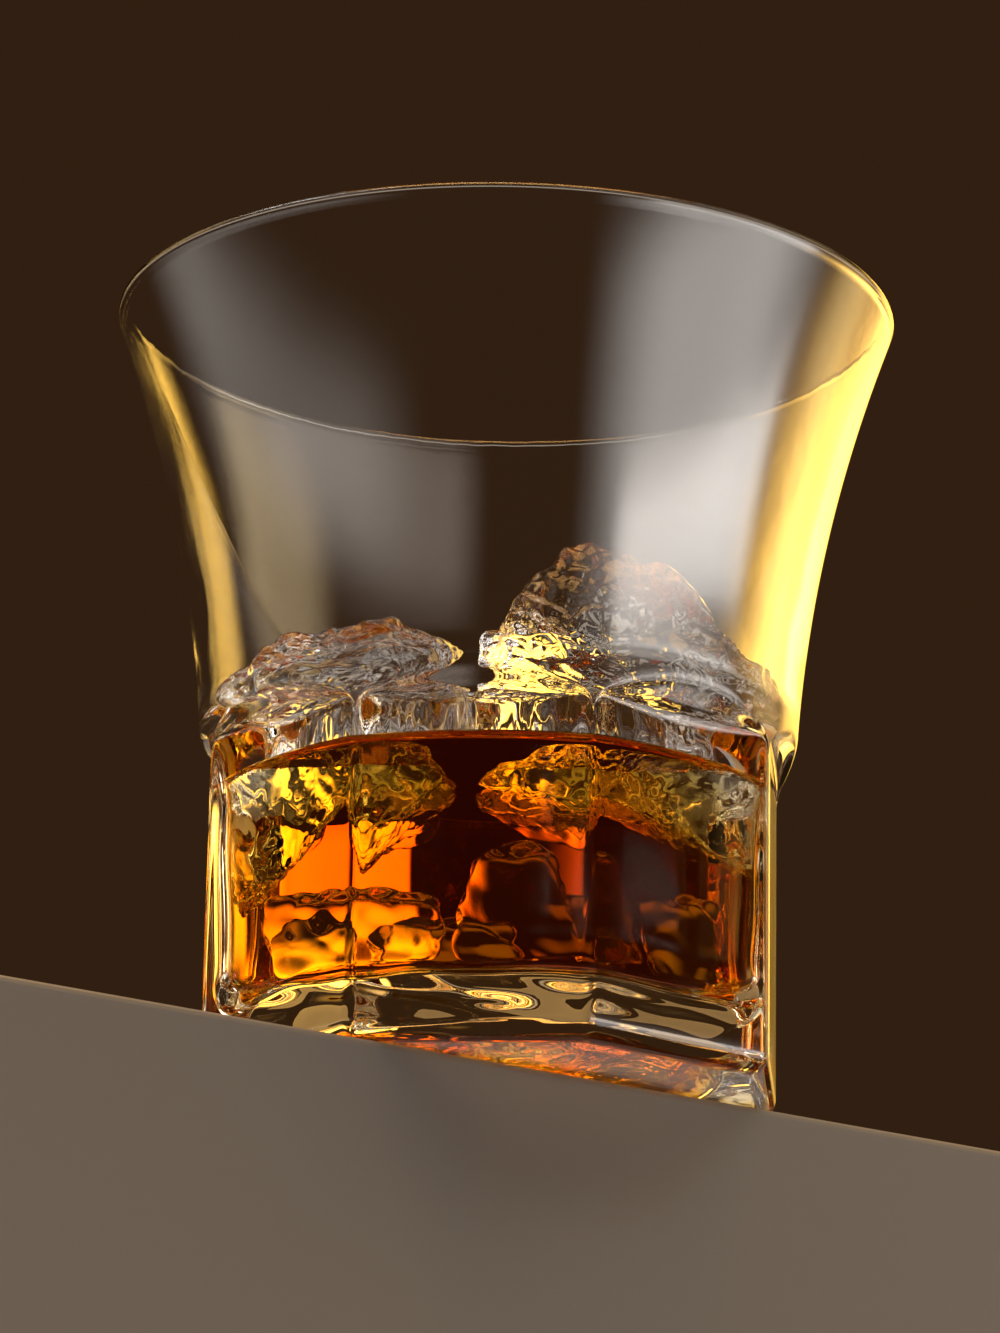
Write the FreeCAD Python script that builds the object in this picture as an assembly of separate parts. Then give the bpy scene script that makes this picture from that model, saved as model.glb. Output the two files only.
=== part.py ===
import FreeCAD, Part

import math
import os

# A short drink on ice in its tumbler: a heavy eight-panelled foot that opens into a round, flared
# bowl, filled to just under the tops of the panels, with two lumps of broken ice standing out of
# the drink. Millimetres, +Z up, origin at the centre of the underside, one flat panel facing -Y.

# Tumbler, outside.
GLASS_HEIGHT = 92.1
RIM_DIAMETER = 90.2
BODY_DIAMETER = 67.3  # the round body where the flare starts
FLARE_START = 30.0  # height at which the side is still upright
PANEL_COUNT = 8
PANEL_DEPTH = 2.35  # how far the middle of a panel lies inside the round body
CORNER_RADIUS = 2.6  # upright edges between panels
HEEL_RADIUS = 2.4  # edge of the underside
PANEL_SHOULDER = 36.2  # height where the arched tops of two panels meet
ARCH_RISE = 2.7  # from there up to an arch's middle
ARCH_FOOT_RADIUS = 2.2
LEDGE_SLOPE = 0.35  # rise of the ledge over a panel for each millimetre outwards

# Tumbler, inside.
RIM_WALL = 1.6
BOWL_WALL = 2.0  # wall of the round bowl just above the panels
BOWL_WALL_HEIGHT = 45.0  # where that wall is measured
FOOT_WALL = 4.7  # from the middle of a panel to the well inside the foot
CAVITY_DRAFT = 0.8  # how much smaller in radius the well is at its floor
CAVITY_TOP = 31.0  # height at which the well starts to open into the bowl
FLOOR_RADIUS = 5.0  # round of the well's floor
BASE_THICKNESS = 8.6

# Drink.
DRINK_LEVEL = 34.0  # height of its surface

# Ice. A lump's faces are planes given from its centre by bearing (degrees from +X towards +Y),
# lift (degrees above the horizon) and reach (millimetres from the centre).
ICE_WALL_GAP = 0.4  # melted clearance to the glass
ICE_SPLIT_GAP = 0.7  # clearance between the two lumps
ICE_SPLIT_OFFSET = -3.0  # where the lumps part, along +X from the axis
ICE_EDGE_POWER = 14.0  # higher means sharper edges between the faces
ICE_CHIP_DEPTH = 0.035  # share of the reach taken by chips
ICE_ROWS = 18
ICE_COLUMNS = 32
PEAK_CENTRE = (13.2, 4.1)
PEAK_LIFT = 6.0  # centre above the drink's surface
PEAK_BEAK = (182.0, 37.0, 3.6, 10.0)  # a jutting ledge: bearing, lift, height, spread in degrees
PEAK_FACES = [
    (0.0, 43.0, 17.4),
    (186.0, 52.0, 23.8),
    (5.0, 64.0, 20.9),
    (182.0, 30.0, 17.6),
    (184.0, 0.0, 16.4),
    (0.0, -8.0, 19.5),
    (270.0, 24.0, 19.0),
    (262.0, -24.0, 14.5),
    (180.0, -72.0, 10.2),
    (305.0, 8.0, 21.0),
    (222.0, 14.0, 19.5),
    (92.0, 22.0, 19.0),
    (80.0, -12.0, 19.5),
    (135.0, 20.0, 19.5),
    (0.0, -90.0, 17.5),
    (220.0, -48.0, 19.5),
    (40.0, -46.0, 19.0),
]
BLOCK_CENTRE = (-17.6, 0.4)
BLOCK_LIFT = 6.0
BLOCK_BEAK = (20.0, 28.0, 1.6, 14.0)
BLOCK_FACES = [
    (5.0, 83.0, 13.0),
    (184.0, 49.0, 13.0),
    (180.0, 0.0, 14.2),
    (5.0, 14.0, 13.4),
    (350.0, -18.0, 14.8),
    (268.0, 30.0, 15.6),
    (276.0, -24.0, 14.0),
    (0.0, -51.0, 13.2),
    (318.0, 12.0, 17.0),
    (225.0, 16.0, 16.4),
    (92.0, 26.0, 16.0),
    (84.0, -14.0, 17.0),
    (134.0, 10.0, 16.6),
    (48.0, 16.0, 17.0),
    (0.0, -90.0, 18.5),
    (230.0, -44.0, 18.0),
    (60.0, -50.0, 18.5),
]

SPARE = 5.0  # how far cutting tools reach past what they cut

BODY_RADIUS = BODY_DIAMETER / 2
PANEL_DISTANCE = BODY_RADIUS - PANEL_DEPTH  # from the axis to the middle of a panel
HALF_PANEL = math.pi / PANEL_COUNT  # angle from the middle of a panel to its edge

UP = FreeCAD.Vector(0, 0, 1)
ORIGIN = FreeCAD.Vector(0, 0, 0)


def upright(radius, height):
    """A point of a profile in the XZ plane."""
    return FreeCAD.Vector(radius, 0, height)


def line(a, b):
    return Part.LineSegment(a, b).toShape()


def bezier(*points):
    curve = Part.BezierCurve()
    curve.setPoles(list(points))
    return curve.toShape()


def corner(centre, radius, start_deg, end_deg):
    """An arc in the XZ plane about a centre, with angles from +X towards +Z."""
    places = [math.radians(start_deg + (end_deg - start_deg) * k / 2) for k in range(3)]
    a, b, c = (centre + upright(radius * math.cos(t), radius * math.sin(t)) for t in places)
    return Part.Arc(a, b, c).toShape()


def turn(edges):
    """The solid swept by a closed profile turned once about the Z axis."""
    return Part.makeSolid(Part.Face(Part.Wire(edges)).revolve(ORIGIN, UP, 360))


def side_radius(height):
    """Outer radius of the round body and its flare: a parabola with an upright foot."""
    share = (height - FLARE_START) / (GLASS_HEIGHT - RIM_WALL / 2 - FLARE_START)
    return BODY_RADIUS + (RIM_DIAMETER / 2 - BODY_RADIUS) * share**2


def flare():
    """The round body from the start of the flare up, with its softened lip, still solid."""
    lip = RIM_WALL / 2
    top = GLASS_HEIGHT - lip
    middle = (FLARE_START + top) / 2
    rim = side_radius(top)
    return turn(
        [
            line(upright(0, FLARE_START), upright(BODY_RADIUS, FLARE_START)),
            bezier(
                upright(BODY_RADIUS, FLARE_START), upright(BODY_RADIUS, middle), upright(rim, top)
            ),
            corner(upright(rim - lip, top), lip, 0, 90),
            line(upright(rim - lip, GLASS_HEIGHT), upright(0, GLASS_HEIGHT)),
            line(upright(0, GLASS_HEIGHT), upright(0, FLARE_START)),
        ]
    )


def foot():
    """The panelled foot: a prism with rounded upright edges and a rounded heel."""
    height = PANEL_SHOULDER + ARCH_RISE + LEDGE_SLOPE * PANEL_DEPTH
    centre_radius = (PANEL_DISTANCE - CORNER_RADIUS) / math.cos(HALF_PANEL)
    edges = []
    ends = []
    for k in range(PANEL_COUNT):
        middle = -math.pi / 2 + (2 * k + 1) * HALF_PANEL
        arc = []
        for angle in (middle - HALF_PANEL, middle, middle + HALF_PANEL):
            x = centre_radius * math.cos(middle) + CORNER_RADIUS * math.cos(angle)
            y = centre_radius * math.sin(middle) + CORNER_RADIUS * math.sin(angle)
            arc.append(FreeCAD.Vector(x, y, 0))
        edges.append(Part.Arc(*arc).toShape())
        ends.append((arc[0], arc[2]))
    outline = []
    for k in range(PANEL_COUNT):
        outline.append(edges[k])
        outline.append(line(ends[k][1], ends[(k + 1) % PANEL_COUNT][0]))
    prism = Part.Face(Part.Wire(outline)).extrude(UP * height)
    heel = [e for e in prism.Edges if e.BoundBox.ZMax < 1e-6]
    return prism.makeFillet(HEEL_RADIUS, heel)


def arch_wire(distance):
    """The outline of one arched cut at a distance from the axis, in a plane facing -Y.

    A flat arc over two small foot arcs, on upright sides. The outline widens with the distance,
    so that neighbours meet at the corner, and gets higher, which slopes the ledge.
    """
    half = distance * math.tan(HALF_PANEL)
    shoulder = PANEL_SHOULDER + LEDGE_SLOPE * (distance - PANEL_DISTANCE)
    crown = shoulder + ARCH_RISE
    small = ARCH_FOOT_RADIUS
    # The flat arc's radius, from its centre on the middle line and its touch with the foot arcs.
    inner = half - small
    big = (inner**2 + ARCH_RISE**2 - small**2) / (2 * (ARCH_RISE - small))
    centre = crown - big
    lean = math.atan2(inner, shoulder - centre)

    def at(x, z):
        return FreeCAD.Vector(x, -distance, z)

    def touch(side):
        return at(side * (inner + small * math.sin(lean)), shoulder + small * math.cos(lean))

    def foot_middle(side):
        half_turn = (math.pi / 2 + lean) / 2
        return at(
            side * (inner + small * math.sin(half_turn)), shoulder + small * math.cos(half_turn)
        )

    low = FLARE_START - SPARE
    return Part.Wire(
        [
            line(at(-half, low), at(-half, shoulder)),
            Part.Arc(at(-half, shoulder), foot_middle(-1), touch(-1)).toShape(),
            Part.Arc(touch(-1), at(0, crown), touch(1)).toShape(),
            Part.Arc(touch(1), foot_middle(1), at(half, shoulder)).toShape(),
            line(at(half, shoulder), at(half, low)),
            line(at(half, low), at(-half, low)),
        ]
    )


def cavity(inset, top):
    """The room inside the tumbler up to a height, drawn in from the wall by an inset."""
    lip = RIM_WALL / 2
    well = PANEL_DISTANCE - FOOT_WALL - inset
    floor = BASE_THICKNESS + inset
    low = well - CAVITY_DRAFT
    bend = FLOOR_RADIUS
    bowl = side_radius(BOWL_WALL_HEIGHT) - BOWL_WALL - inset
    rim_height = GLASS_HEIGHT - lip
    rim = side_radius(rim_height) - RIM_WALL - inset
    slope = side_radius(BOWL_WALL_HEIGHT + 0.5) - side_radius(BOWL_WALL_HEIGHT - 0.5)
    middle = (BOWL_WALL_HEIGHT + rim_height) / 2
    reach = (BOWL_WALL_HEIGHT - CAVITY_TOP) / 2
    room = turn(
        [
            line(upright(0, floor), upright(low - bend, floor)),
            corner(upright(low - bend, floor + bend), bend, -90, 0),
            line(upright(low, floor + bend), upright(well, CAVITY_TOP)),
            bezier(
                upright(well, CAVITY_TOP),
                upright(well, CAVITY_TOP + reach),
                upright(bowl - slope * reach, BOWL_WALL_HEIGHT - reach),
                upright(bowl, BOWL_WALL_HEIGHT),
            ),
            bezier(
                upright(bowl, BOWL_WALL_HEIGHT),
                upright(bowl + slope * (middle - BOWL_WALL_HEIGHT), middle),
                upright(rim, rim_height),
            ),
            corner(upright(rim + lip, rim_height), lip, 180, 90),
            line(upright(rim + lip, GLASS_HEIGHT), upright(rim + lip, GLASS_HEIGHT + SPARE)),
            line(upright(rim + lip, GLASS_HEIGHT + SPARE), upright(0, GLASS_HEIGHT + SPARE)),
            line(upright(0, GLASS_HEIGHT + SPARE), upright(0, floor)),
        ]
    )
    width = RIM_DIAMETER + 2 * SPARE
    below = Part.makeBox(width, width, top, FreeCAD.Vector(-width / 2, -width / 2, 0))
    return room.common(below)


def make_tumbler():
    body = flare()
    near = PANEL_DISTANCE - SPARE
    far = BODY_RADIUS + SPARE
    cutter = Part.makeLoft([arch_wire(near), arch_wire(far)], True, True)
    for k in range(PANEL_COUNT):
        tool = cutter.copy()
        tool.rotate(ORIGIN, UP, 360 / PANEL_COUNT * k)
        body = body.cut(tool)
    outside = foot().fuse(body)
    return outside.cut(cavity(0, GLASS_HEIGHT + SPARE)).removeSplitter()


def facing(direction, bearing, lift):
    """Cosine of the angle between a unit direction and a bearing and lift in degrees."""
    b = math.radians(bearing)
    e = math.radians(lift)
    level = direction[0] * math.cos(b) + direction[1] * math.sin(b)
    return level * math.cos(e) + direction[2] * math.sin(e)


def lump_radius(direction, faces, beak):
    """Reach of a lump along a unit direction.

    Its planes are blended by a power, then chipped, and the beak is a bell-shaped rise on top.
    """
    blended = 0.0
    for bearing, lift, reach in faces:
        blended += (max(facing(direction, bearing, lift), 0.0) / reach) ** ICE_EDGE_POWER
    radius = blended ** (-1 / ICE_EDGE_POWER)
    x, y, z = direction
    chips = math.sin(7 * x + 4 * z) * math.sin(6 * y - 5 * z) + 0.6 * math.sin(11 * z + 5 * x * y)
    bearing, lift, height, spread = beak
    away = math.degrees(math.acos(max(-1.0, min(1.0, facing(direction, bearing, lift)))))
    return radius * (1 + ICE_CHIP_DEPTH * chips) + height * math.exp(-((away / spread) ** 2))


def make_lump(centre, lift, faces, beak, keep_side):
    """A lump of broken ice as flat chips, trimmed to the glass and to its side of the split."""
    middle = FreeCAD.Vector(centre[0], centre[1], DRINK_LEVEL + lift)

    def place(row, column):
        lean = math.pi * row / ICE_ROWS
        bearing = 2 * math.pi * (column % ICE_COLUMNS) / ICE_COLUMNS
        direction = (
            math.sin(lean) * math.cos(bearing),
            math.sin(lean) * math.sin(bearing),
            math.cos(lean),
        )
        return middle + FreeCAD.Vector(*direction) * lump_radius(direction, faces, beak)

    chips = []
    for row in range(ICE_ROWS):
        for column in range(ICE_COLUMNS):
            a = place(row, column)
            b = place(row + 1, column)
            c = place(row + 1, column + 1)
            d = place(row, column + 1)
            if row < ICE_ROWS - 1:
                chips.append(Part.Face(Part.makePolygon([a, b, c, a])))
            if row > 0:
                chips.append(Part.Face(Part.makePolygon([a, c, d, a])))
    shell = Part.makeShell(chips)
    shell.sewShape()
    lump = Part.makeSolid(shell)
    if lump.Volume < 0:
        lump.reverse()
    span = RIM_DIAMETER
    edge = ICE_SPLIT_OFFSET + keep_side * ICE_SPLIT_GAP / 2
    start = edge if keep_side > 0 else edge - span
    half_room = Part.makeBox(span, 2 * span, 2 * span, FreeCAD.Vector(start, -span, 0))
    return lump.common(cavity(ICE_WALL_GAP, GLASS_HEIGHT)).common(half_room)


def as_one_solid(shape):
    return max(shape.Solids, key=lambda s: s.Volume)


def main():
    os.makedirs("parts", exist_ok=True)
    peak = as_one_solid(make_lump(PEAK_CENTRE, PEAK_LIFT, PEAK_FACES, PEAK_BEAK, 1))
    block = as_one_solid(make_lump(BLOCK_CENTRE, BLOCK_LIFT, BLOCK_FACES, BLOCK_BEAK, -1))
    nodes = {
        "tumbler": as_one_solid(make_tumbler()),
        "whisky": as_one_solid(cavity(0, DRINK_LEVEL).cut(peak).cut(block)),
        "ice_peak": peak,
        "ice_block": block,
    }
    for name, shape in nodes.items():
        shape.exportStep("parts/" + name + ".step")
        size = shape.BoundBox
        print(
            name, shape.isValid(), round(shape.Volume / 1000, 3), "cm3",
            [round(v, 2) for v in (size.XMin, size.XMax, size.YMin, size.YMax, size.ZMin, size.ZMax)],
        )


main()
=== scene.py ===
import math

import bpy
import numpy as np
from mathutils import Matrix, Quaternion


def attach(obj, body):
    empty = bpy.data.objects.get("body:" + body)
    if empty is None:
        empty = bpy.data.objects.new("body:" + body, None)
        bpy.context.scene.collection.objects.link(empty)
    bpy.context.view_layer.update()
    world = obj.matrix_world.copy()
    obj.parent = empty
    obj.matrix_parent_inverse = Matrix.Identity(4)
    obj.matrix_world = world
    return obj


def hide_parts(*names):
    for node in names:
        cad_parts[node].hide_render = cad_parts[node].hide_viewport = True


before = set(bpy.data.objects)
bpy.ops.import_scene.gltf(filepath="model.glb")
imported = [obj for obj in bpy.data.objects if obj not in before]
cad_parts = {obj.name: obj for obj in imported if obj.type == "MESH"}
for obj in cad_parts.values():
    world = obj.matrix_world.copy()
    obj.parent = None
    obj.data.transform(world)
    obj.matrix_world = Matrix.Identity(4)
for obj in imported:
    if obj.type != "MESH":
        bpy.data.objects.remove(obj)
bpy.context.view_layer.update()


# ---- Tumbler ------------------------------------------------------------------------------------
# One piece of clear glass: a thick foot pressed with eight flat panels whose arched tops step out
# to a round body, and a thin bowl that flares to a fire-polished rim. Its well and underside keep
# the slight waves of the pressing. Sizes are millimetres.

BODY_RADIUS = 33.65  # the round body where the flare starts
RIM_RADIUS = 45.1
FLARE_START = 30.0
LIP_RADIUS = 0.8
LIP_HEIGHT = 91.3  # centre of the lip's round edge
PANEL_DISTANCE = 31.3  # from the axis to the middle of a panel
HALF_PANEL = math.pi / 8  # angle from the middle of a panel to its upright edge
CORNER_RADIUS = 2.6
HEEL_RADIUS = 2.4
ARCH_SHOULDER = 36.2
ARCH_RISE = 2.7
ARCH_FOOT_RADIUS = 2.2
LEDGE_SLOPE = 0.35
LEDGE_EASE = 0.8  # how far the ledge's soft edges run up and down the side, as a share of its width
LEAST_EASE = 0.05  # and this much more everywhere
EASE_HOLD = 0.4  # where the inner poles of its curve stand, as a share of that run
WELL_TOP = (26.6, 31.0)  # radius and height
WELL_FOOT = (25.8, 13.6)
WELL_ROUND = 5.0
FLOOR_HEIGHT = 8.6
BOWL_FOOT = (32.34, 45.0)
BOWL_SLOPE = 0.0914  # how far the bowl's inside widens for each millimetre up, at its foot
DIMPLE_DEPTH = 0.5  # hollow of the underside
DIMPLE_SHARE = 0.86  # its size as a share of the underside
RIPPLE_SHARE = 0.35  # how much the hollow's ripple adds or takes
MM = 0.001  # metres
PANEL_COLUMNS = 36  # upright lines to a panel
COLUMN_CROWDING = 0.75  # how strongly they crowd at its edges, below 1
BOWL_POINTS = 64  # points down each stretch of the inside
BEND_POINTS = 34
WELL_POINTS = 24
ROUND_POINTS = 12
FLOOR_POINTS = 30
UNDER_POINTS = 25  # and up each stretch of the outside
HEEL_POINTS = 12
PANEL_POINTS = 20
LEDGE_POINTS = 16
FLARE_POINTS = 64
LIP_POINTS = 14


def side_radius(height):
    """The round body and its flare: a parabola with an upright foot, widening with the square of
    the height over the start of the flare."""
    share = (height - FLARE_START) / (LIP_HEIGHT - FLARE_START)
    return BODY_RADIUS + (RIM_RADIUS - BODY_RADIUS) * share**2


def foot_radius(bearing, inset):
    """The eight-sided foot, drawn in by an inset. Along a panel the radius is the panel's distance
    over the cosine of the angle from its middle; near a corner it is where the ray leaves the
    corner's circle."""
    off = np.abs((bearing + HALF_PANEL) % (2 * HALF_PANEL) - HALF_PANEL)
    flat = (PANEL_DISTANCE - inset) / np.cos(off)
    centre = (PANEL_DISTANCE - CORNER_RADIUS) / math.cos(HALF_PANEL)
    aside = centre * np.sin(HALF_PANEL - off)
    inside = np.maximum((CORNER_RADIUS - inset) ** 2 - aside**2, 0)
    rounded = centre * np.cos(HALF_PANEL - off) + np.sqrt(inside)
    touch = np.arctan2(centre * math.sin(HALF_PANEL), PANEL_DISTANCE - inset)
    return np.where(off < touch, flat, rounded)


def arch_height(bearing, radius):
    """Height of a panel's arched top: a flat arc between two small foot arcs, both circles, on a
    width that grows with the distance from the axis; the whole arch rises with that distance."""
    off = np.abs((bearing + HALF_PANEL) % (2 * HALF_PANEL) - HALF_PANEL)
    across, distance = radius * np.sin(off), radius * np.cos(off)
    shoulder = ARCH_SHOULDER + LEDGE_SLOPE * (distance - PANEL_DISTANCE)
    inner = distance * math.tan(HALF_PANEL) - ARCH_FOOT_RADIUS
    big = (inner**2 + ARCH_RISE**2 - ARCH_FOOT_RADIUS**2) / (2 * (ARCH_RISE - ARCH_FOOT_RADIUS))
    lean = np.arctan2(inner, big - ARCH_RISE)
    flat = shoulder + ARCH_RISE - big + np.sqrt(np.maximum(big**2 - across**2, 0))
    foot = shoulder + np.sqrt(np.maximum(ARCH_FOOT_RADIUS**2 - (across - inner) ** 2, 0))
    return np.where(across < inner + ARCH_FOOT_RADIUS * np.sin(lean), flat, foot)


def bezier(poles, count):
    """Points of a Bezier curve at even steps of its share: neighbouring poles are mixed by that
    share until one is left."""
    t = np.linspace(0, 1, count)[:, None, None]
    points = [np.asarray(p, float)[None] for p in poles]
    while len(points) > 1:
        points = [a * (1 - t) + b * t for a, b in zip(points, points[1:])]
    return points[0]


def inside_profile():
    """The inside of the glass from the lip to the middle of the floor, as radius and height: the
    bowl's curve, the bend into the well, the well's straight side, its round and the floor."""
    reach = (BOWL_FOOT[1] - WELL_TOP[1]) / 2
    middle = (BOWL_FOOT[1] + LIP_HEIGHT) / 2
    lip = (RIM_RADIUS - 2 * LIP_RADIUS, LIP_HEIGHT)
    bowl_pole = (BOWL_FOOT[0] + BOWL_SLOPE * (middle - BOWL_FOOT[1]), middle)
    bowl = bezier([lip, bowl_pole, BOWL_FOOT], BOWL_POINTS)[:, 0]
    bend_pole = (BOWL_FOOT[0] - BOWL_SLOPE * reach, BOWL_FOOT[1] - reach)
    well_pole = (WELL_TOP[0], WELL_TOP[1] + reach)
    bend = bezier([BOWL_FOOT, bend_pole, well_pole, WELL_TOP], BEND_POINTS)[:, 0]
    well = np.linspace(WELL_TOP, WELL_FOOT, WELL_POINTS)
    turn = np.linspace(0, -math.pi / 2, ROUND_POINTS)
    centre = (WELL_FOOT[0] - WELL_ROUND, WELL_FOOT[1])
    rounded = np.stack(
        [centre[0] + WELL_ROUND * np.cos(turn), centre[1] + WELL_ROUND * np.sin(turn)], 1
    )
    across = np.linspace(centre[0], 0, FLOOR_POINTS)
    floor = np.stack([across, np.full(FLOOR_POINTS, FLOOR_HEIGHT)], 1)
    return np.concatenate([bowl, bend[1:], well[1:], rounded[1:], floor[1:]])


def profile_normals(profile):
    """Unit vectors square to a profile of radius and height, pointing out of the room it bounds
    when the profile runs down and inwards."""
    along = np.gradient(profile, axis=0)
    out = np.stack([-along[:, 1], along[:, 0]], 1)
    return out / np.linalg.norm(out, axis=1)[:, None]


def wave(x, y, z):
    """Waves of the pressed glass, as a distance square to its surface: on the side three sines of
    bearing and height, dying out up the bowl; over the floor a sine across times a cosine along,
    plus one slanting sine, dying out at the middle."""
    turn = np.arctan2(y, x)
    side = 0.05 * np.sin(3 * turn + 0.21 * z) + 0.035 * np.sin(5 * turn - 0.33 * z + 1.3)
    side = side + 0.02 * np.sin(9 * turn + 0.5 * z + 4)
    floor = 0.27 * np.sin(0.24 * x + 0.4) * np.cos(0.2 * y - 0.8)
    floor = floor + 0.11 * np.sin(0.42 * x - 0.3 * y + 2)
    low = np.clip((14.5 - z) / 3, 0, 1)
    high = np.clip((62 - z) / 25, 0.1, 1)
    return side * high * (1 - low) + floor * low * np.clip(np.hypot(x, y) / 3, 0, 1)


def inside_rings(profile, bearings, offset):
    """Rings of points on the wavy inside of the glass, moved outwards by an offset."""
    out = profile_normals(profile)
    x = profile[:, :1] * np.cos(bearings)
    y = profile[:, :1] * np.sin(bearings)
    z = np.broadcast_to(profile[:, 1:], x.shape)
    move = offset + wave(x, y, z)
    x = x + move * out[:, :1] * np.cos(bearings)
    y = y + move * out[:, :1] * np.sin(bearings)
    return np.stack([x, y, z + move * out[:, 1:]], 2)


def closed_mesh(name, rings, first, last):
    """A closed smooth mesh from rings of points in millimetres: each ring joins the next by
    four-sided faces, and an end point closes each end ring by triangles. The rings run so that
    the outside is on the right of their way along."""
    count, columns = rings.shape[:2]
    points = np.concatenate([[first], rings.reshape(-1, 3), [last]]) * MM
    start = 1 + np.arange(count - 1)[:, None] * columns
    here = np.arange(columns)
    after = (here + 1) % columns
    quads = np.stack(
        [start + here, start + after, start + columns + after, start + columns + here], 2
    ).reshape(-1, 4)
    top = 1 + (count - 1) * columns
    below = np.stack([np.zeros(columns, int), 1 + after, 1 + here], 1)
    above = np.stack([np.full(columns, len(points) - 1), top + here, top + after], 1)
    mesh = bpy.data.meshes.new(name)
    mesh.from_pydata(points.tolist(), [], below.tolist() + quads.tolist() + above.tolist())
    mesh.shade_smooth()
    return mesh


def glass_columns():
    """Bearings of the glass's upright lines, closer together at each panel's edges: an even step
    plus a share of its sine."""
    even = np.arange(PANEL_COLUMNS) / PANEL_COLUMNS * 2 - 1
    off = HALF_PANEL * (even + COLUMN_CROWDING * np.sin(math.pi * even) / math.pi)
    return (off[None] + 2 * HALF_PANEL * np.arange(8)[:, None] - math.pi / 2).ravel()


def glass_rings():
    """The whole skin of the glass in rings, from the middle of the underside out over the heel, up
    the panels, over their ledges, up the flare, round the lip and down the inside. Returns them and
    how many of them are outside."""
    bearings = glass_columns()
    across, up = np.cos(bearings), np.sin(bearings)

    def ring(radius, height):
        radius, height, _ = np.broadcast_arrays(radius, height, bearings)
        return np.stack([radius * across, radius * up, height], -1)

    share = np.linspace(0, 1, UNDER_POINTS)[1:, None]
    hollow = DIMPLE_DEPTH * np.clip(1 - (share / DIMPLE_SHARE) ** 2, 0, 1) ** 2
    radius = share * foot_radius(bearings, HEEL_RADIUS)
    ripple = RIPPLE_SHARE * np.sin(0.31 * radius * across + 1) * np.sin(0.26 * radius * up + 0.5)
    under = ring(radius, hollow * (1 + ripple))
    turn = np.linspace(-math.pi / 2, 0, HEEL_POINTS)[1:, None]
    heel = ring(
        foot_radius(bearings, HEEL_RADIUS * (1 - np.cos(turn))), HEEL_RADIUS * (1 + np.sin(turn))
    )
    inner = foot_radius(bearings, 0)
    low = arch_height(bearings, inner)
    high = low
    # The arch's height where it meets the flared side, which moves with it: found by repeating.
    for _ in range(12):
        high = arch_height(bearings, side_radius(high))
    outer = side_radius(high)
    ease = LEDGE_EASE * (outer - inner) + LEAST_EASE
    lift = np.linspace(0, 1, PANEL_POINTS)[1:, None]
    panel = ring(inner, HEEL_RADIUS + (low - ease - HEEL_RADIUS) * lift)
    poles = [
        np.stack([inner, low - ease]),
        np.stack([inner, low + EASE_HOLD * ease]),
        np.stack([side_radius(high - EASE_HOLD * ease), high - EASE_HOLD * ease]),
        np.stack([side_radius(high + ease), high + ease]),
    ]
    ledge = bezier(poles, LEDGE_POINTS)[1:]
    ledge = ring(ledge[:, 0], ledge[:, 1])
    start = high + ease
    heights = start + (LIP_HEIGHT - start) * np.linspace(0, 1, FLARE_POINTS)[1:, None]
    flare = ring(side_radius(heights), heights)
    turn = np.linspace(0, math.pi, LIP_POINTS)[1:, None]
    lip = ring(
        RIM_RADIUS - LIP_RADIUS + LIP_RADIUS * np.cos(turn), LIP_HEIGHT + LIP_RADIUS * np.sin(turn)
    )
    inside = inside_rings(inside_profile()[1:-1], bearings, 0)
    outside = np.concatenate([under, heel, panel, ledge, flare, lip])
    return np.concatenate([outside, inside]), len(outside)


def material(name):
    """A new material of nodes: returns it, its nodes, its links and its Principled shader."""
    made = bpy.data.materials.new(name)
    made.use_nodes = True
    tree = made.node_tree
    shader = next(n for n in tree.nodes if n.type == "BSDF_PRINCIPLED")
    return made, tree.nodes, tree.links, shader


def clear_material(name, ior, colour, bump_scale, bump_height, rough, grain="FBM"):
    """A clear material whose roughness and fine surface relief come from noise in object space:
    smooth hills for the plain grain, creases for the ridged one."""
    made, nodes, links, shader = material(name)
    shader.inputs["Base Color"].default_value = (*colour, 1)
    shader.inputs["IOR"].default_value = ior
    shader.inputs["Transmission Weight"].default_value = 1
    place = nodes.new("ShaderNodeTexCoord")
    noise = nodes.new("ShaderNodeTexNoise")
    noise.inputs["Scale"].default_value = bump_scale
    noise.inputs["Detail"].default_value = 3
    noise.noise_type = grain
    links.new(place.outputs["Object"], noise.inputs["Vector"])
    spread = nodes.new("ShaderNodeMapRange")
    spread.inputs["To Min"].default_value = rough[0]
    spread.inputs["To Max"].default_value = rough[1]
    links.new(noise.outputs["Fac"], spread.inputs["Value"])
    links.new(spread.outputs["Result"], shader.inputs["Roughness"])
    bump = nodes.new("ShaderNodeBump")
    bump.inputs["Strength"].default_value = 1
    bump.inputs["Distance"].default_value = bump_height
    links.new(noise.outputs["Fac"], bump.inputs["Height"])
    links.new(bump.outputs["Normal"], shader.inputs["Normal"])
    return made, nodes, links, shader


def piece(name, mesh, finishes, slot, *nodes):
    """A finished piece on the one body, with its materials and the CAD nodes it replaces; the slot is
    not used.
    """
    made = bpy.data.objects.new(name, mesh)
    bpy.context.scene.collection.objects.link(made)
    for finish in finishes:
        mesh.materials.append(finish)
    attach(made, "root")
    if nodes:
        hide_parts(*nodes)
    return made


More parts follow.
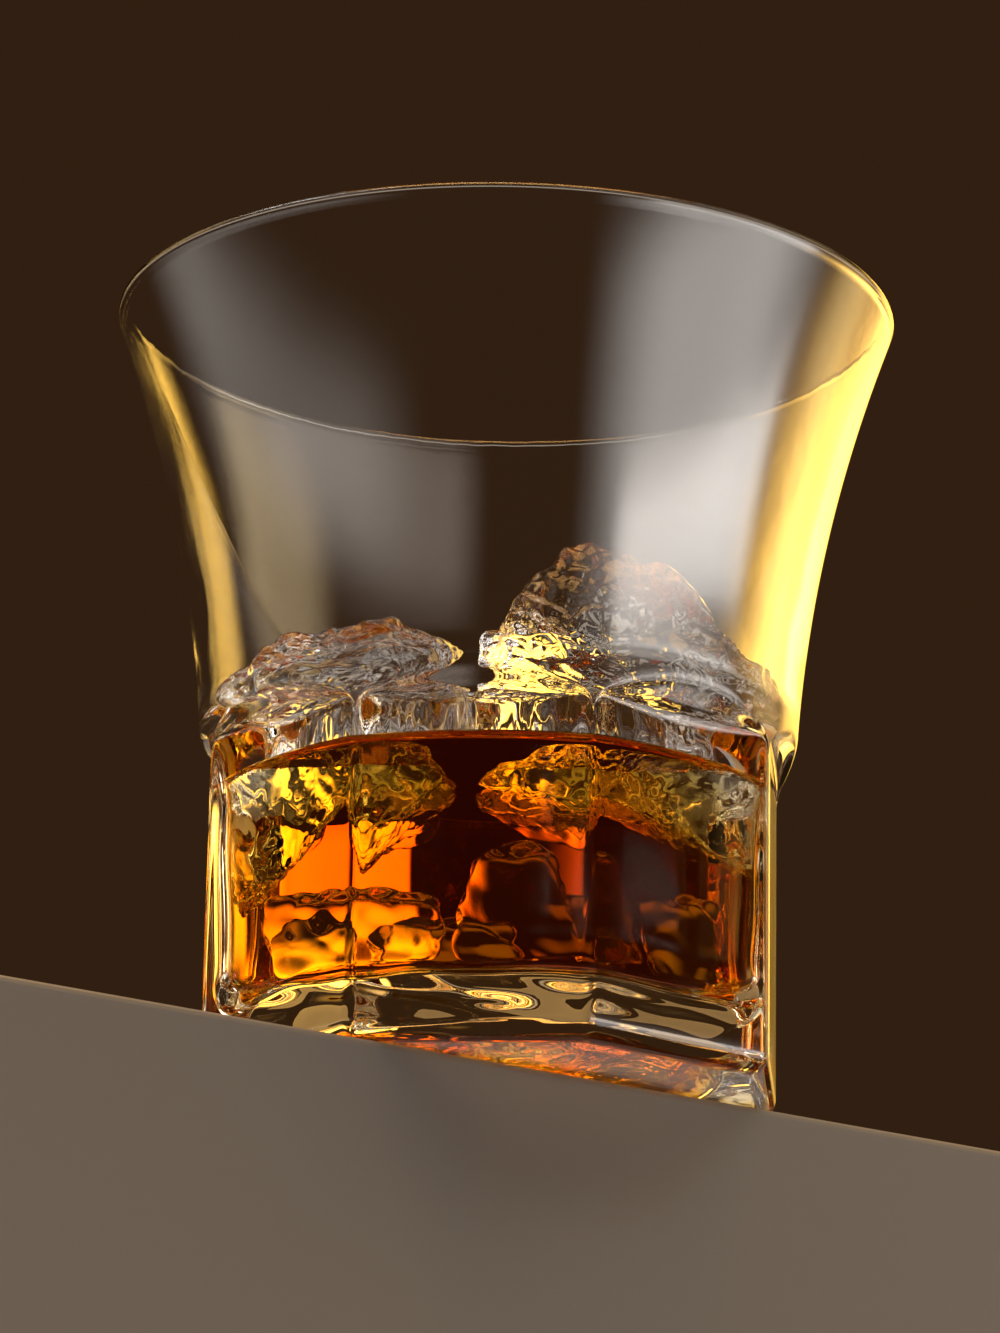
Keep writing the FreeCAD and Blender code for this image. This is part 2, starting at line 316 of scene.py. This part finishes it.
GLASS_BEND = 1.5  # how strongly each bends light
DRINK_BEND = 1.36
ICE_BEND = 1.31
SUNK_BEND = 1.045  # drink over ice, a little raised; the shader takes none below 1
WET_HEIGHT = 34.6  # the drink wets the inside to here
GLASS_TINT = (0.985, 0.99, 0.985)
glass_finish = clear_material(
    "fire_polished_glass", GLASS_BEND, GLASS_TINT,
    bump_scale=90, bump_height=0.00002, rough=(0.0, 0.012),
)[0]
wet_glass_finish = clear_material(
    "wet_glass", GLASS_BEND / DRINK_BEND, GLASS_TINT,
    bump_scale=90, bump_height=0.00002, rough=(0.0, 0.012),
)[0]
rings, outside_count = glass_rings()
glass_mesh = closed_mesh("tumbler_glass", rings, (0, 0, DIMPLE_DEPTH), (0, 0, FLOOR_HEIGHT))
face_count = len(glass_mesh.polygons)
middles = np.empty(face_count * 3)
glass_mesh.polygons.foreach_get("center", middles)
middles = middles.reshape(-1, 3)
inside_start = len(glass_columns()) * (outside_count + 1)
wet = (np.arange(face_count) > inside_start) & (middles[:, 2] < WET_HEIGHT * MM)
glass_mesh.polygons.foreach_set("material_index", wet.astype(np.int32))
piece("tumbler_glass", glass_mesh, [glass_finish, wet_glass_finish], "clear_glass", "tumbler")


# ---- Ice -----------------------------------------------------------------------------------------
# Clear ice broken by hand: flat faces between worn edges, dented all over like hammered metal where
# it has split and melted. Two lumps stand out of the drink, trimmed by the glass and by each other,
# and four smaller pieces lie wholly under it. A face is a plane at a bearing, a lift and a reach.

DRINK_LEVEL = 34.0
WALL_GAP = 0.4
WAVE_GAP = 0.1  # added to it for the waves of the wall
SPLIT = -3.0  # where the two lumps part, along X
SPLIT_GAP = 0.7
ROOM_POWER = 26.0  # higher trims the ice closer to the room it has
COARSE_DENTS = 180
COARSE_STRETCH = (0.5, 0.2, 1.4)  # the way the dents are drawn out, and by how much
FINE_STRETCH = (-0.6, 0.3, 1.1)
CRUMPLE_LENGTH = 1.6
CRUMPLE_WAVES = 24
PEAK_CENTRE = (13.2, 4.1, 40.0)
PEAK_BEAK = (182.0, 37.0, 3.6, 10.0)
PEAK_FACES = [
    (0, 43, 17.4), (186, 52, 23.8), (5, 64, 20.9), (182, 30, 17.6), (184, 0, 16.4), (0, -8, 19.5),
    (270, 24, 19.0), (262, -24, 14.5), (180, -72, 10.2), (305, 8, 21.0), (222, 14, 19.5),
    (92, 22, 19.0), (80, -12, 19.5), (135, 20, 19.5), (0, -90, 17.5), (220, -48, 19.5), (40, -46, 19.0),
]
BLOCK_CENTRE = (-17.6, 0.4, 40.0)
BLOCK_BEAK = (20.0, 28.0, 1.6, 14.0)
BLOCK_FACES = [
    (5, 83, 13.0), (184, 49, 13.0), (180, 0, 14.2), (5, 14, 13.4), (350, -18, 14.8),
    (268, 30, 15.6), (276, -24, 14.0), (0, -51, 13.2), (318, 12, 17.0), (225, 16, 16.4),
    (92, 26, 16.0), (84, -14, 17.0), (134, 10, 16.6), (48, 16, 17.0), (0, -90, 18.5), (230, -44, 18.0),
    (60, -50, 18.5),
]


def unit(bearing, lift):
    """The unit vector at a bearing and a lift in degrees."""
    b, e = np.radians(bearing), np.radians(lift)
    return np.stack([np.cos(b) * np.cos(e), np.sin(b) * np.cos(e), np.sin(e)], -1)


def lump_reach(way, faces, beak, power, chip):
    """Reach of a lump along unit vectors: the planes' reaches blended by a power, a share added or
    taken by crossing sines as chips, and a bell-shaped beak."""
    faces = np.asarray(faces, float)
    facing = np.maximum(way @ unit(faces[:, 0], faces[:, 1]).T, 0)
    blended = ((facing / faces[:, 2]) ** power).sum(-1) ** (-1 / power)
    x, y, z = way[..., 0], way[..., 1], way[..., 2]
    chips = np.sin(7 * x + 4 * z) * np.sin(6 * y - 5 * z) + 0.6 * np.sin(11 * z + 5 * x * y)
    away = np.degrees(np.arccos(np.clip(way @ unit(beak[0], beak[1]), -1, 1)))
    return blended * (1 + chip * chips) + beak[2] * np.exp(-((away / beak[3]) ** 2))


def room_reach(way, centre, side):
    """Distance from a centre along unit vectors to the glass's inside less the wall gap, and to
    the lump's side of the split, found by halving."""
    profile = inside_profile()[::-1]
    near, far = np.zeros(way.shape[:-1]), np.full(way.shape[:-1], 90.0)
    for _ in range(26):
        middle = (near + far) / 2
        p = np.asarray(centre) + way * middle[..., None]
        wall = np.interp(p[..., 2], profile[:, 1], profile[:, 0], left=-1) - WALL_GAP - WAVE_GAP
        within = np.hypot(p[..., 0], p[..., 1]) < wall
        within &= p[..., 2] > FLOOR_HEIGHT + WALL_GAP
        if side:
            within &= side * (p[..., 0] - SPLIT) > SPLIT_GAP / 2
        near, far = np.where(within, middle, near), np.where(within, far, middle)
    return near


def dents(points, seeds, size, stretch):
    """Hammered relief from 0 in the pit of a dent to 1 on the ridges: the squared distance to the
    nearest seed over the dent's size squared, in a space squeezed along one way, which draws the
    dents out."""
    axis = np.asarray(stretch, float)
    squeeze = 1 - 1 / np.linalg.norm(axis)
    axis = axis / np.linalg.norm(axis)
    flat = points - squeeze * (points @ axis)[..., None] * axis
    near = np.full(points.shape[:-1], 1e9)
    for seed in seeds - squeeze * (seeds @ axis)[:, None] * axis:
        near = np.minimum(near, ((flat - seed) ** 2).sum(-1))
    return np.clip(near / size**2, 0, 1)


def crumple(points, rng, length, count):
    """Fine unevenness, mostly between -1 and 1: sines along random ways, with lengths up to a half
    more than the one given."""
    ways = unit(rng.uniform(0, 360, count), rng.uniform(-80, 80, count))
    turns = 2 * math.pi / (length * rng.uniform(1, 1.5, count))
    waves = np.sin((points @ ways.T) * turns + rng.uniform(0, 6.28, count))
    return waves.sum(-1) / math.sqrt(count) / 2


def lump_rings(centre, faces, beak, side, rows, columns, seed, relief):
    """Rings of a lump from its lowest point up: dents of two sizes, the fine ones by their square
    root, and a fine crumple are added to its reach, then a soft minimum keeps it in its room."""
    rng = np.random.default_rng(seed)
    power, chip, big, big_depth, small, small_depth, fine_count, fine = relief
    lean = np.pi * (1 - np.arange(1, rows) / rows)[:, None]
    bearing = 2 * np.pi * np.arange(columns)[None] / columns
    way = np.stack(
        [np.sin(lean) * np.cos(bearing), np.sin(lean) * np.sin(bearing),
         np.broadcast_to(np.cos(lean), (rows - 1, columns))], -1,
    )
    poles = np.array([[0, 0, -1.0], [0, 0, 1.0]])
    ways = np.concatenate([way.reshape(-1, 3), poles])
    reach = lump_reach(ways, faces, beak, power, chip)
    room = room_reach(ways, centre, side)
    base = np.asarray(centre) + ways * reach[:, None]
    pick = rng.choice(len(base), COARSE_DENTS + fine_count, replace=False)
    coarse = dents(base, base[pick[:COARSE_DENTS]], big, COARSE_STRETCH)
    close = np.sqrt(dents(base, base[pick[COARSE_DENTS:]], small, FINE_STRETCH))
    reach = reach + big_depth * (coarse - 0.55) + small_depth * (close - 0.5)
    reach = reach + fine * crumple(base, rng, CRUMPLE_LENGTH, CRUMPLE_WAVES)
    reach = (reach**-ROOM_POWER + room**-ROOM_POWER) ** (-1 / ROOM_POWER)
    base = np.asarray(centre) + ways * reach[:, None]
    return base[:-2].reshape(rows - 1, columns, 3), base[-2], base[-1]


ICE_TINT = (0.99, 0.995, 1.0)
ice_finish = clear_material(
    "wet_clear_ice", ICE_BEND, ICE_TINT,
    bump_scale=420, bump_height=0.0003, rough=(0.0, 0.03), grain="RIDGED_MULTIFRACTAL",
)[0]
sunk_ice_finish = clear_material(
    "sunk_clear_ice", SUNK_BEND, ICE_TINT,
    bump_scale=500, bump_height=0.00006, rough=(0.0, 0.03),
)[0]


def wet_below(mesh, height):
    """Gives the faces below a height the mesh's second material."""
    middles = np.empty(len(mesh.polygons) * 3)
    mesh.polygons.foreach_get("center", middles)
    mesh.polygons.foreach_set(
        "material_index", (middles[2::3] < height * MM).astype(np.int32)
    )


# Relief of the lumps: sharpness of the edges between faces, share taken by chips, size and depth of
# the coarse dents, size and depth of the fine ones, their number, and depth of the fine crumple.
ICE_RELIEF = (14, 0.035, 4.0, 1.3, 1.6, 0.7, 1100, 0.16)
peak_rings = lump_rings(
    PEAK_CENTRE, PEAK_FACES, PEAK_BEAK, side=1, rows=170, columns=290, seed=11, relief=ICE_RELIEF
)
block_rings = lump_rings(
    BLOCK_CENTRE, BLOCK_FACES, BLOCK_BEAK, side=-1, rows=150, columns=270, seed=23, relief=ICE_RELIEF
)
peak_mesh = closed_mesh("ice_peak_lump", *peak_rings)
block_mesh = closed_mesh("ice_block_lump", *block_rings)
wet_below(peak_mesh, DRINK_LEVEL)
wet_below(block_mesh, DRINK_LEVEL)
piece("ice_peak_lump", peak_mesh, [ice_finish, sunk_ice_finish], "ice", "ice_peak")
piece("ice_block_lump", block_mesh, [ice_finish, sunk_ice_finish], "ice", "ice_block")

SUNK_RELIEF = (9, 0.05, 5.0, 0.3, 2.0, 0.1, 200, 0.05)
# Each sunk piece: its middle, its half sizes, its turn in degrees and its random seed.
SUNK = [
    ((-13.0, -9.0, 14.8), (9.0, 6.0, 4.7), 28, 31),
    ((3.6, -8.0, 17.6), (7.0, 6.2, 7.0), -35, 32),
    ((15.6, 0.5, 15.6), (5.4, 7.6, 5.4), 24, 33),
    ((-6.0, 10.0, 14.9), (10.0, 7.4, 4.6), -12, 34),
]


def chunk_faces(half, turn):
    """Planes of a squarish chunk of ice: six sides at its half sizes and four cut corners."""
    along, across, up = half
    sides = [(turn, 8, along), (turn + 180, -6, along), (turn + 90, 5, across)]
    sides += [(turn + 270, -9, across), (turn, 88, up), (turn, -86, up)]
    corner = 0.86 * math.sqrt(along * across)
    sides += [(turn + 45 + 90 * k, 20 * (-1) ** k, corner * 1.12) for k in range(4)]
    return sides


sunk_meshes = []
NO_BEAK = (0, 90, 0, 10)
for number, (centre, half, turn, seed) in enumerate(SUNK):
    rings = lump_rings(
        centre, chunk_faces(half, turn), NO_BEAK,
        side=0, rows=64, columns=90, seed=seed, relief=SUNK_RELIEF,
    )
    name = "sunk_ice_" + str(number + 1)
    sunk_meshes.append(closed_mesh(name, *rings))
    piece(name, sunk_meshes[-1], [sunk_ice_finish], "ice")


# ---- Whisky --------------------------------------------------------------------------------------
# The drink fills the well to just under the arches. It reaches a little into the glass so that no
# air shows between them, climbs the wall in a small rim of its own, and is hollowed where the ice
# is. Its amber comes from its depth, with only a trace of it at the surface.

WALL_REACH = 0.12
RIM_CLIMB = 0.8
RIM_CLIMB_LENGTH = 1.0
ICE_REACH = 0.06


def drink_rings(bearings):
    """The drink's skin in rings: the glass's inside moved out, from the floor to the level, then
    the surface, which falls from the wall by an exponential."""
    profile = inside_profile()[::-1]
    below = profile[1:][profile[1:, 1] < DRINK_LEVEL]
    heights = np.array([DRINK_LEVEL, DRINK_LEVEL + RIM_CLIMB])
    wall = profile[FLOOR_POINTS - 1:]
    edge = np.stack([np.interp(heights, wall[:, 1], wall[:, 0]), heights], 1)
    sides = inside_rings(np.concatenate([below, edge])[::-1], bearings, WALL_REACH)[::-1]
    rim = sides[-1]
    share = np.concatenate([np.linspace(0, 0.2, 16)[1:], np.linspace(0.2, 1, 20)[1:-1]])
    top = rim[None] * (1 - share)[:, None, None]
    away = (np.hypot(*rim[:, :2].T).mean()) * share
    top[..., 2] = (DRINK_LEVEL + RIM_CLIMB * np.exp(-away / RIM_CLIMB_LENGTH))[:, None]
    return np.concatenate([sides, top])


def hollows(meshes):
    """The ice's skins in one mesh, each drawn in along its normals so that the ice reaches a
    little into the drink."""
    points, faces, start = [], [], 0
    for mesh in meshes:
        count = len(mesh.vertices)
        place = np.empty(count * 3)
        mesh.vertices.foreach_get("co", place)
        out = np.empty(count * 3)
        mesh.vertex_normals.foreach_get("vector", out)
        points.append((place - out * ICE_REACH * MM).reshape(-1, 3))
        corners = np.empty(len(mesh.loops), np.int32)
        mesh.loops.foreach_get("vertex_index", corners)
        firsts = np.empty(len(mesh.polygons), np.int32)
        mesh.polygons.foreach_get("loop_start", firsts)
        faces += [face.tolist() for face in np.split(start + corners, firsts[1:])]
        start += count
    made = bpy.data.meshes.new("ice_hollows")
    made.from_pydata(np.concatenate(points).tolist(), [], faces)
    return made


whisky_finish, whisky_nodes, whisky_links, whisky_shader = clear_material(
    "amber_whisky", DRINK_BEND, (1.0, 0.96, 0.88),
    bump_scale=40, bump_height=0.00001, rough=(0.0, 0.01),
)
free = whisky_nodes.new("ShaderNodeAttribute")
free.attribute_name = "free_surface"
bend = whisky_nodes.new("ShaderNodeMapRange")
bend.inputs["To Min"].default_value = 1.0
bend.inputs["To Max"].default_value = DRINK_BEND
whisky_links.new(free.outputs["Fac"], bend.inputs["Value"])
whisky_links.new(bend.outputs["Result"], whisky_shader.inputs["IOR"])
depth = whisky_nodes.new("ShaderNodeVolumeAbsorption")
depth.inputs["Color"].default_value = (0.96, 0.79, 0.05, 1)
depth.inputs["Density"].default_value = 240
whisky_links.new(
    depth.outputs["Volume"],
    next(n for n in whisky_nodes if n.type == "OUTPUT_MATERIAL").inputs["Volume"],
)

CREASE_ANGLE = math.radians(50)
TOP_SLACK = 0.05  # a face is open to the air if it lies less than this below the level
TOP_FACING = 0.3  # and faces up by more than this
DRINK_COLUMNS = 240
drink_bearings = 2 * np.pi * np.arange(DRINK_COLUMNS) / DRINK_COLUMNS
drink_mesh = closed_mesh(
    "drink_full", drink_rings(drink_bearings),
    (0, 0, FLOOR_HEIGHT - WALL_REACH), (0, 0, DRINK_LEVEL),
)
drink_full = bpy.data.objects.new("drink_full", drink_mesh)
hollow_piece = bpy.data.objects.new(
    "ice_hollows", hollows([peak_mesh, block_mesh, *sunk_meshes])
)
bpy.context.scene.collection.objects.link(drink_full)
bpy.context.scene.collection.objects.link(hollow_piece)
cut = drink_full.modifiers.new("ice", "BOOLEAN")
cut.operation = "DIFFERENCE"
cut.solver = "MANIFOLD"
cut.object = hollow_piece
bpy.context.view_layer.update()
whisky_mesh = bpy.data.meshes.new_from_object(
    drink_full.evaluated_get(bpy.context.evaluated_depsgraph_get())
)
whisky_mesh.name = "whisky_drink"
whisky_mesh.materials.clear()
bpy.data.objects.remove(drink_full)
bpy.data.objects.remove(hollow_piece)
whisky_mesh.shade_smooth()
whisky_mesh.set_sharp_from_angle(angle=CREASE_ANGLE)
middles = np.empty(len(whisky_mesh.polygons) * 3)
normals = np.empty(len(whisky_mesh.polygons) * 3)
whisky_mesh.polygons.foreach_get("center", middles)
whisky_mesh.polygons.foreach_get("normal", normals)
on_top = (middles[2::3] > (DRINK_LEVEL - TOP_SLACK) * MM) & (normals[2::3] > TOP_FACING)
mark = whisky_mesh.attributes.new("free_surface", "FLOAT", "FACE")
mark.data.foreach_set("value", on_top.astype(np.float32))
piece("whisky_drink", whisky_mesh, [whisky_finish], "whisky", "whisky")


# ---- Floor, light and camera ---------------------------------------------------------------------
# A pale slab with one straight front edge that the foot stands a little over, in a plain dark room
# lit by soft windows: neutral ones on each side, warm ones behind on the right and an amber one
# overhead.

SLAB_EDGE_DISTANCE = 0.01646
SLAB_EDGE_BEARING = math.radians(-48.07)  # the way its front edge faces
SLAB_GAP = 0.00005  # air between it and the foot
SLAB_DEPTH = 0.05
SLAB_SPAN = 0.13  # half its length
SLAB_BACK = 0.035  # how far it reaches behind the axis

out = np.array([math.cos(SLAB_EDGE_BEARING), math.sin(SLAB_EDGE_BEARING)])
side = np.array([-out[1], out[0]])
corners = [
    out * SLAB_EDGE_DISTANCE - side * SLAB_SPAN,
    out * SLAB_EDGE_DISTANCE + side * SLAB_SPAN,
    -out * SLAB_BACK + side * SLAB_SPAN,
    -out * SLAB_BACK - side * SLAB_SPAN,
]
low, high = -SLAB_GAP - SLAB_DEPTH, -SLAB_GAP
slab_points = [(*c, low) for c in corners] + [(*c, high) for c in corners]
slab_faces = [(3, 2, 1, 0), (4, 5, 6, 7)] + [
    (k, (k + 1) % 4, 4 + (k + 1) % 4, 4 + k) for k in range(4)
]
slab_mesh = bpy.data.meshes.new("pale_slab")
slab_mesh.from_pydata(slab_points, [], slab_faces)
slab = bpy.data.objects.new("pale_slab", slab_mesh)
bpy.context.scene.collection.objects.link(slab)
bevel = slab.modifiers.new("edge", "BEVEL")
bevel.width = 0.0008
bevel.segments = 3
slab_finish, _, _, slab_shader = material("pale_slab")
slab_shader.inputs["Base Color"].default_value = (0.42, 0.41, 0.395, 1)
slab_shader.inputs["Roughness"].default_value = 0.6
slab_mesh.materials.append(slab_finish)

world = bpy.data.worlds.new("dark_room")
bpy.context.scene.world = world
world.use_nodes = True
world.node_tree.nodes.clear()


def calc(tree, operation, *values):
    """A maths node on numbers or other nodes' outputs; returns its output."""
    node = tree.nodes.new("ShaderNodeMath")
    node.operation = operation
    for socket, value in zip(node.inputs, values):
        if isinstance(value, (int, float)):
            socket.default_value = value
        else:
            tree.links.new(value, socket)
    return node.outputs[0]


def band(tree, value, low, high, soft):
    """1 between two bounds and 0 outside, with a soft step of the given width at each."""
    steps = []
    for edge, sign in ((low, 1), (high, -1)):
        node = tree.nodes.new("ShaderNodeMapRange")
        node.interpolation_type = "SMOOTHSTEP"
        node.inputs["From Min"].default_value = edge - sign * soft / 2
        node.inputs["From Max"].default_value = edge + sign * soft / 2
        tree.links.new(value, node.inputs["Value"])
        steps.append(node.outputs["Result"])
    return calc(tree, "MULTIPLY", *steps)


# Each window of soft light: azimuth from and to (0 is the front, positive to the right), its
# softness, lift from and to, its softness, its light, and how much of it shows straight through the
# glass; all of it shows in reflections. A window that ends past PAST_BACK is counted on round it.
PAST_BACK = 175
BACK_SEAM = -120  # azimuths below this are the ones counted on
ROOM_DARK = (0.03, 0.014, 0.006)
WINDOWS = [
    (104, 157, 20, -3, 19, 9, (1.5, 0.84, 0.27), 1),
    (116, 134, 12, -6, 20, 10, (1.2, 0.88, 0.36), 1),
    (144, 174, 12, 10, 28, 8, (4.4, 2.5, 0.4), 1),
    (44, 100, 32, -17, 6, 8, (3.8, 3.6, 3.4), 0.1),
    (47, 104, 8, -2, 8, 6, (3.9, 3.65, 3.4), 0.1),
    (-112, -34, 30, -8, 2, 9, (0.95, 0.9, 0.83), 0.4),
    (-105, -45, 24, 42, 60, 12, (1.1, 0.95, 0.85), 1),
    (20, 110, 20, 42, 60, 12, (1.3, 1.1, 0.95), 1),
    (85, 128, 20, 26, 44, 12, (2.0, 1.5, 0.85), 1),
    (180, 198, 6, 2, 9, 4, (0.3, 0.26, 0.21), 1),
    (-400, 400, 10, 70, 120, 14, (4.4, 2.4, 0.8), 1),
]
air = world.node_tree
parts = air.nodes.new("ShaderNodeSeparateXYZ")
air.links.new(air.nodes.new("ShaderNodeTexCoord").outputs["Generated"], parts.inputs[0])
azimuth = calc(air, "ARCTAN2", parts.outputs[0], calc(air, "MULTIPLY", parts.outputs[1], -1))
azimuth = calc(air, "DEGREES", azimuth)
turned = calc(air, "MULTIPLY", calc(air, "LESS_THAN", azimuth, BACK_SEAM), 360)
behind = calc(air, "ADD", azimuth, turned)
lift = calc(air, "DEGREES", calc(air, "ARCSINE", parts.outputs[2]))
path = air.nodes.new("ShaderNodeLightPath")
light = None
for start, stop, soft, low, high, soft_lift, colour, through in WINDOWS:
    amount = calc(
        air, "MULTIPLY",
        band(air, behind if stop > PAST_BACK else azimuth, start, stop, soft),
        band(air, lift, low, high, soft_lift),
    )
    if through < 1:
        shown = calc(air, "MINIMUM", calc(air, "ADD", path.outputs["Glossy Depth"], through), 1)
        amount = calc(air, "MULTIPLY", amount, shown)
    scale = air.nodes.new("ShaderNodeVectorMath")
    scale.operation = "SCALE"
    scale.inputs[0].default_value = colour
    air.links.new(amount, scale.inputs["Scale"])
    total = air.nodes.new("ShaderNodeVectorMath")
    total.operation = "ADD"
    if light is None:
        total.inputs[0].default_value = ROOM_DARK
    else:
        air.links.new(light, total.inputs[0])
    air.links.new(scale.outputs[0], total.inputs[1])
    light = total.outputs[0]
glow = air.nodes.new("ShaderNodeBackground")
air.links.new(light, glow.inputs["Color"])
plain = air.nodes.new("ShaderNodeBackground")
plain.inputs["Color"].default_value = (*ROOM_DARK, 1)
mix = air.nodes.new("ShaderNodeMixShader")
air.links.new(path.outputs["Is Camera Ray"], mix.inputs[0])
air.links.new(glow.outputs[0], mix.inputs[1])
air.links.new(plain.outputs[0], mix.inputs[2])
air.links.new(mix.outputs[0], air.nodes.new("ShaderNodeOutputWorld").inputs["Surface"])

CAMERA_PLACE = np.array([0.0492, -0.5739, -0.119])
CAMERA_AZIMUTH = math.radians(4.9)
CAMERA_RISE = math.radians(16.38)
CAMERA_ROLL = math.radians(1.03)

lens = bpy.data.cameras.new("camera")
lens.sensor_width = 36
lens.lens = 141.65
lens.clip_start, lens.clip_end = 0.01, 20
camera = bpy.data.objects.new("camera", lens)
bpy.context.scene.collection.objects.link(camera)
camera.location = CAMERA_PLACE
camera.rotation_mode = "XYZ"
camera.rotation_euler = (math.pi / 2 + CAMERA_RISE, 0, CAMERA_AZIMUTH)
camera.rotation_mode = "QUATERNION"
camera.rotation_quaternion = camera.rotation_quaternion @ Quaternion((0, 0, 1), CAMERA_ROLL)
bpy.context.scene.camera = camera

view = bpy.context.scene.view_settings
view.view_transform = "Standard"

# Light crosses many skins of glass, drink and ice before it leaves.
cycles = bpy.context.scene.cycles
cycles.max_bounces = 30
cycles.transmission_bounces = 28
cycles.glossy_bounces = 16
cycles.diffuse_bounces = 3
cycles.transparent_max_bounces = 8
